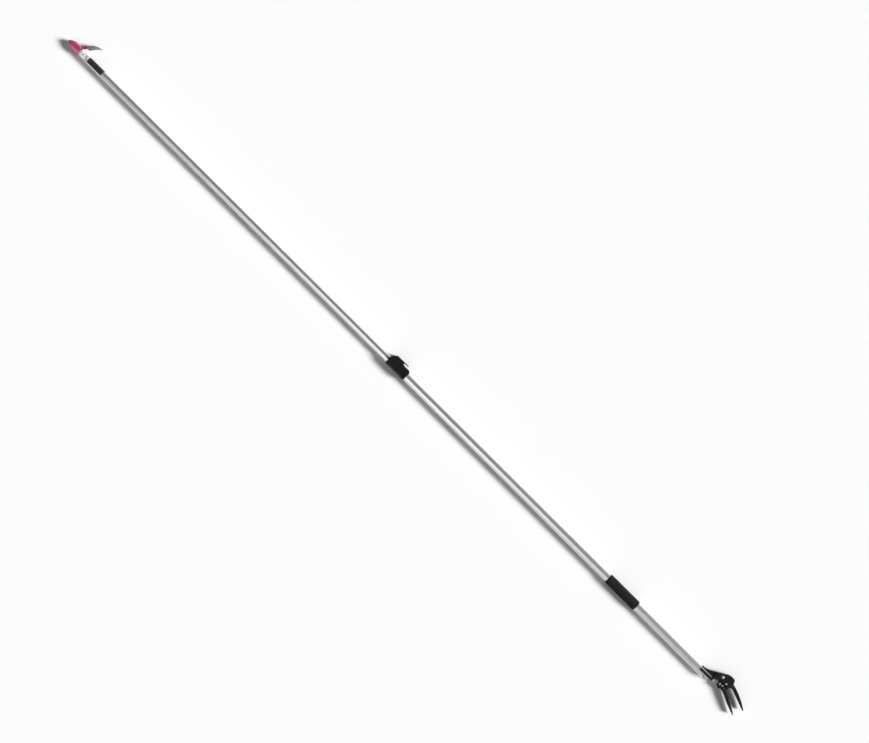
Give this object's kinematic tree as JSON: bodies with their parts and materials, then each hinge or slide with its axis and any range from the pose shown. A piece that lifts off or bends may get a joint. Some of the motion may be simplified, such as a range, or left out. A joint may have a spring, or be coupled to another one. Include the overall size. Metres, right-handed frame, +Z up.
{
  "type": "telescoping long-reach pruner",
  "caption": "Telescoping garden pole with a hooked pruning blade at the far end, worked by squeeze handles through a rod in the pole, with a flip-lever clamp and a foam grip.",
  "frame": {"origin": "on the flat underside of the clamp collar, at the middle of its length and under the pole's axis", "axes": "+X along the pole towards the handles, +Y towards the blade's side, +Z up from the surface it lies on"},
  "size_m": [2.9927, 0.084, 0.034],
  "materials": {
    "tube_aluminium": "satin drawn tube",
    "neck_aluminium": "satin",
    "red_plastic": "moulded, soft gloss",
    "red_paint": "painted steel",
    "blade_steel": "ground steel",
    "zinc_steel": "bright zinc plate",
    "black_steel": "blackened",
    "rod_steel": "drawn steel",
    "black_plastic": "moulded, fine grain",
    "bearing_plastic": "smooth",
    "black_film": "printed film",
    "foam": "closed-cell foam",
    "brake_rubber": "matt"
  },
  "bodies": {
    "pole_base": {"lower_tube": "tube_aluminium", "guide_bush": "bearing_plastic", "clamp_body": "black_plastic", "clamp_screws": "black_steel", "lever_pin": "black_steel", "foam_grip": "foam", "handle_body": "black_plastic", "handle_plug": "black_plastic", "plug_screws": "zinc_steel", "saddle_rivets": "zinc_steel", "pivot_bolt": "zinc_steel", "pivot_nut": "zinc_steel", "stop_pin": "zinc_steel", "return_spring": "rod_steel"},
    "lock_lever": {"lock_lever": "black_plastic"},
    "brake_shoe": {"brake_shoe": "brake_rubber"},
    "squeeze_lever": {"squeeze_lever": "black_plastic", "link_pin": "zinc_steel", "boss_rivet": "zinc_steel"},
    "draw_rod": {"draw_tube": "tube_aluminium", "draw_clevis": "rod_steel", "rod_clutch": "bearing_plastic", "spring_collar": "rod_steel"},
    "upper_pole": {"upper_tube": "tube_aluminium", "slide_bush": "bearing_plastic", "rod_guide": "bearing_plastic", "label_band": "black_film", "neck_bracket": "neck_aluminium", "neck_rivets": "zinc_steel", "upper_head_cover": "red_plastic", "lower_head_cover": "red_plastic", "head_cover_screws": "zinc_steel", "counter_blade": "blade_steel", "counter_blade_screws": "black_steel", "blade_pivot_bolt": "zinc_steel", "blade_pivot_nut": "zinc_steel"},
    "pull_rod": {"pull_rod": "rod_steel", "rod_end": "rod_steel"},
    "blade": {"blade_arm": "red_paint", "cutting_blade": "blade_steel", "blade_rivets": "zinc_steel", "blade_pin": "zinc_steel"}
  },
  "joints": [
    {"name": "telescope", "type": "slide", "parent": "pole_base", "child": "upper_pole", "axis": [1, 0, 0], "range_m": [0, 1.15]},
    {"name": "lock_lever_hinge", "type": "hinge", "parent": "pole_base", "child": "lock_lever", "pos_m": [-0.0235, 0.0205, 0.017], "axis": [0, 0, 1], "range_deg": [0, 100]},
    {"name": "brake_shoe_slide", "type": "slide", "parent": "pole_base", "child": "brake_shoe", "axis": [0, 1, 0], "range_m": [0, 0.00057]},
    {"name": "squeeze", "type": "hinge", "parent": "pole_base", "child": "squeeze_lever", "pos_m": [1.4125, 0.034, 0.017], "axis": [0, 0, 1], "range_deg": [0, 10.2], "stiffness_Nm_per_rad": 1.5, "springref_deg": -5.73},
    {"name": "draw_rod_slide", "type": "slide", "parent": "pole_base", "child": "draw_rod", "axis": [1, 0, 0], "range_m": [0, 0.0037], "deforming": ["return_spring"]},
    {"name": "pull_rod_slide", "type": "slide", "parent": "upper_pole", "child": "pull_rod", "axis": [1, 0, 0], "range_m": [0, 0.0037]},
    {"name": "blade_hinge", "type": "hinge", "parent": "upper_pole", "child": "blade", "pos_m": [-1.4215, -0.00626, 0.017], "axis": [0, 0, 1], "range_deg": [-24.01, 0]}
  ],
  "couplings": [
    {"joint": "brake_shoe_slide", "follows": "lock_lever_hinge", "m_per_rad": 0.00032086},
    {"joint": "draw_rod_slide", "follows": "squeeze", "m_per_rad": 0.020677},
    {"joint": "pull_rod_slide", "follows": "squeeze", "m_per_rad": 0.020677},
    {"joint": "blade_hinge", "follows": "squeeze", "ratio": -2.3529}
  ]
}
